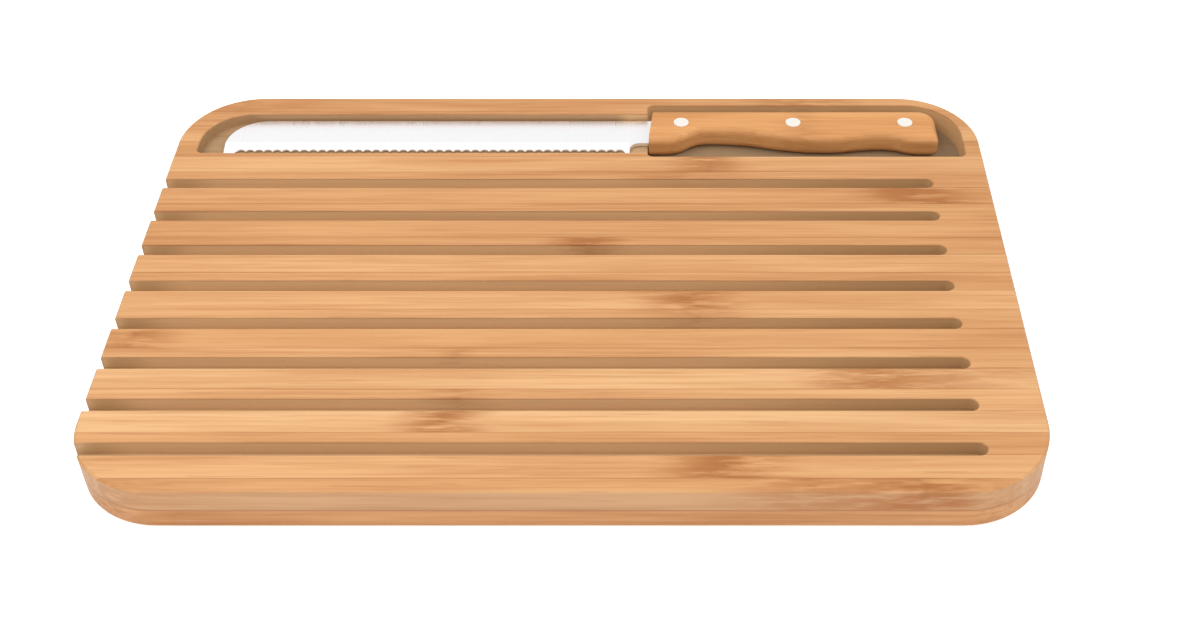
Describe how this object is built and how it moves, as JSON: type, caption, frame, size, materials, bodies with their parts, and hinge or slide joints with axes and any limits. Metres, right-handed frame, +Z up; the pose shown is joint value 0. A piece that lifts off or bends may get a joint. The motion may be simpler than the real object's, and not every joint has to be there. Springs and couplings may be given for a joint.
{
  "type": "bread board with knife",
  "caption": "Rounded rectangular bamboo board with parallel crumb grooves and a stepped well in which a riveted serrated bread knife lies.",
  "frame": {"origin": "centre of the board's outline, on its flat underside", "axes": "+X along the board towards the butt of the knife, +Y across the board towards the knife well, +Z up out of the cutting face"},
  "size_m": [0.37, 0.25, 0.0214],
  "materials": {
    "bamboo_light": "satin oiled",
    "bamboo_mid": "satin oiled",
    "bamboo_dark": "satin oiled",
    "handle_wood": "satin oiled",
    "blade_steel": "polished",
    "rivet_steel": "polished"
  },
  "bodies": {
    "board": {"lower_strip_01": "bamboo_dark", "lower_strip_02": "bamboo_mid", "lower_strip_03": "bamboo_light", "lower_strip_04": "bamboo_mid", "lower_strip_05": "bamboo_dark", "lower_strip_06": "bamboo_dark", "lower_strip_07": "bamboo_mid", "lower_strip_08": "bamboo_light", "lower_strip_09": "bamboo_mid", "lower_strip_10": "bamboo_dark", "lower_strip_11": "bamboo_mid", "lower_strip_12": "bamboo_light", "lower_strip_13": "bamboo_mid", "lower_strip_14": "bamboo_mid", "lower_strip_15": "bamboo_dark", "lower_strip_16": "bamboo_mid", "lower_strip_17": "bamboo_mid", "lower_strip_18": "bamboo_light", "lower_strip_19": "bamboo_mid", "lower_strip_20": "bamboo_dark", "lower_strip_21": "bamboo_mid", "lower_strip_22": "bamboo_mid", "upper_strip_01": "bamboo_mid", "upper_strip_02": "bamboo_light", "upper_strip_03": "bamboo_dark", "upper_strip_04": "bamboo_light", "upper_strip_05": "bamboo_mid", "upper_strip_06": "bamboo_light", "upper_strip_07": "bamboo_dark", "upper_strip_08": "bamboo_mid", "upper_strip_09": "bamboo_light", "upper_strip_10": "bamboo_mid", "upper_strip_11": "bamboo_dark", "upper_strip_12": "bamboo_mid", "upper_strip_13": "bamboo_light", "upper_strip_14": "bamboo_dark", "upper_strip_15": "bamboo_mid", "upper_strip_16": "bamboo_dark", "upper_strip_17": "bamboo_light", "upper_strip_18": "bamboo_mid", "upper_strip_19": "bamboo_light", "upper_strip_20": "bamboo_mid", "upper_strip_21": "bamboo_dark", "upper_strip_22": "bamboo_mid"},
    "knife": {"blade": "blade_steel", "upper_scale": "handle_wood", "lower_scale": "handle_wood", "handle_rivets": "rivet_steel"}
  },
  "joints": [
    {"name": "knife_lift", "type": "slide", "parent": "board", "child": "knife", "axis": [0, 0, 1], "range_m": [0, 0.06]}
  ]
}
